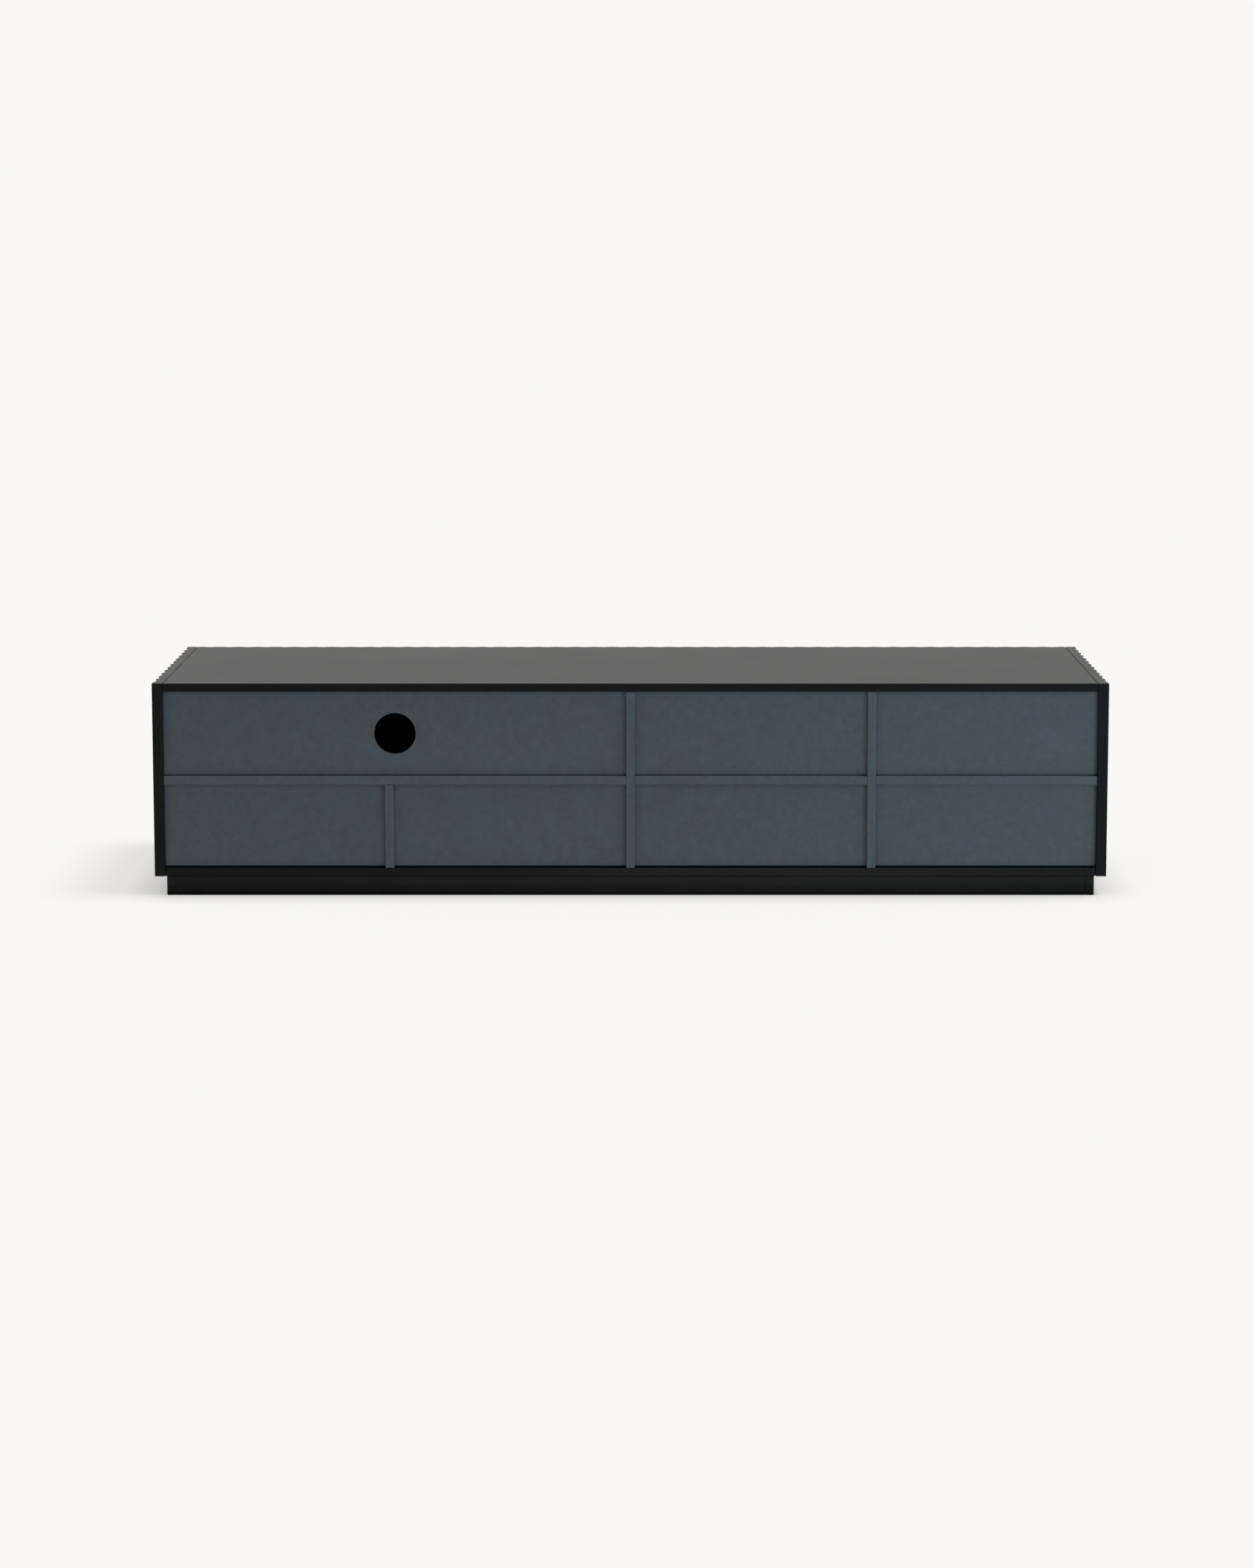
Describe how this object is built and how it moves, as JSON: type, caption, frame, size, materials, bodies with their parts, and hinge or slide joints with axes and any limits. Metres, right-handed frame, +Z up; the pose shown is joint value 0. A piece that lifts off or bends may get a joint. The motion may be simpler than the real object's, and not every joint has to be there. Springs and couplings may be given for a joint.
{
  "type": "dresser with drawers",
  "caption": "Low wide dresser with a fluted black shell, slate inner boards, drawers, a drop-down media flap, a recessed plinth and a cable hole in its back.",
  "frame": {"origin": "on the floor, at the middle of the footprint", "axes": "+X along the length towards the media compartment's side, which is the right for somebody who faces the drawer fronts; +Y from the fluted front towards the open-framed rear; +Z up"},
  "size_m": [1.8, 0.482, 0.405],
  "materials": {
    "shell_lacquer": "black satin lacquer on MDF",
    "slate_melamine": "matt slate grey melamine on particle board",
    "drawer_board": "grey foil on folded MDF",
    "runner_steel": "zinc plated",
    "bracket_steel": "black powder coat",
    "black_plastic": "matt moulded"
  },
  "bodies": {
    "carcass": {"top_panel": "shell_lacquer", "bottom_panel": "shell_lacquer", "side_panel_left": "shell_lacquer", "side_panel_right": "shell_lacquer", "plinth_side_left": "shell_lacquer", "plinth_side_right": "shell_lacquer", "plinth_rail_front": "shell_lacquer", "plinth_rail_rear": "shell_lacquer", "plinth_brace": "shell_lacquer", "divider_left": "slate_melamine", "divider_centre": "slate_melamine", "divider_right_lower": "slate_melamine", "shelf_left_outer": "slate_melamine", "shelf_left_inner": "slate_melamine", "shelf_right_wide": "slate_melamine", "back_panel_upper_left_outer": "slate_melamine", "back_panel_upper_left_inner": "slate_melamine", "back_panel_lower_left_outer": "slate_melamine", "back_panel_lower_left_inner": "slate_melamine", "back_panel_lower_right_inner": "slate_melamine", "back_panel_lower_right_outer": "slate_melamine", "back_panel_media": "slate_melamine", "runner_upper_left_outer_left": "runner_steel", "runner_upper_left_outer_right": "runner_steel", "runner_upper_left_inner_left": "runner_steel", "runner_upper_left_inner_right": "runner_steel", "runner_lower_left_outer_left": "runner_steel", "runner_lower_left_outer_right": "runner_steel", "runner_lower_left_inner_left": "runner_steel", "runner_lower_left_inner_right": "runner_steel", "runner_lower_right_inner_left": "runner_steel", "runner_lower_right_inner_right": "runner_steel", "runner_lower_right_outer_left": "runner_steel", "runner_lower_right_outer_right": "runner_steel", "flap_bracket_centre": "bracket_steel", "flap_bracket_side": "bracket_steel", "latch_housing": "black_plastic"},
    "drawer_upper_left_outer": {"drawer_front_upper_left_outer": "shell_lacquer", "drawer_wrap_upper_left_outer": "drawer_board", "drawer_bottom_upper_left_outer": "drawer_board"},
    "drawer_upper_left_inner": {"drawer_front_upper_left_inner": "shell_lacquer", "drawer_wrap_upper_left_inner": "drawer_board", "drawer_bottom_upper_left_inner": "drawer_board"},
    "drawer_lower_left_outer": {"drawer_front_lower_left_outer": "shell_lacquer", "drawer_wrap_lower_left_outer": "drawer_board", "drawer_bottom_lower_left_outer": "drawer_board"},
    "drawer_lower_left_inner": {"drawer_front_lower_left_inner": "shell_lacquer", "drawer_wrap_lower_left_inner": "drawer_board", "drawer_bottom_lower_left_inner": "drawer_board"},
    "drawer_lower_right_inner": {"drawer_front_lower_right_inner": "shell_lacquer", "drawer_wrap_lower_right_inner": "drawer_board", "drawer_bottom_lower_right_inner": "drawer_board"},
    "drawer_lower_right_outer": {"drawer_front_lower_right_outer": "shell_lacquer", "drawer_wrap_lower_right_outer": "drawer_board", "drawer_bottom_lower_right_outer": "drawer_board"},
    "flap": {"flap_panel": "shell_lacquer"},
    "latch_button": {"latch_plunger": "black_plastic"}
  },
  "joints": [
    {"name": "slide_upper_left_outer", "type": "slide", "parent": "carcass", "child": "drawer_upper_left_outer", "axis": [0, -1, 0], "range_m": [0, 0.3]},
    {"name": "slide_upper_left_inner", "type": "slide", "parent": "carcass", "child": "drawer_upper_left_inner", "axis": [0, -1, 0], "range_m": [0, 0.3]},
    {"name": "slide_lower_left_outer", "type": "slide", "parent": "carcass", "child": "drawer_lower_left_outer", "axis": [0, -1, 0], "range_m": [0, 0.3]},
    {"name": "slide_lower_left_inner", "type": "slide", "parent": "carcass", "child": "drawer_lower_left_inner", "axis": [0, -1, 0], "range_m": [0, 0.3]},
    {"name": "slide_lower_right_inner", "type": "slide", "parent": "carcass", "child": "drawer_lower_right_inner", "axis": [0, -1, 0], "range_m": [0, 0.3]},
    {"name": "slide_lower_right_outer", "type": "slide", "parent": "carcass", "child": "drawer_lower_right_outer", "axis": [0, -1, 0], "range_m": [0, 0.3]},
    {"name": "flap_hinge", "type": "hinge", "parent": "carcass", "child": "flap", "pos_m": [0.43925, -0.233, 0.23], "axis": [1, 0, 0], "range_deg": [0, 90]},
    {"name": "latch_press", "type": "slide", "parent": "carcass", "child": "latch_button", "axis": [0, 1, 0], "range_m": [0, 0.003], "stiffness_N_per_m": 150, "springref_m": -0.004}
  ]
}
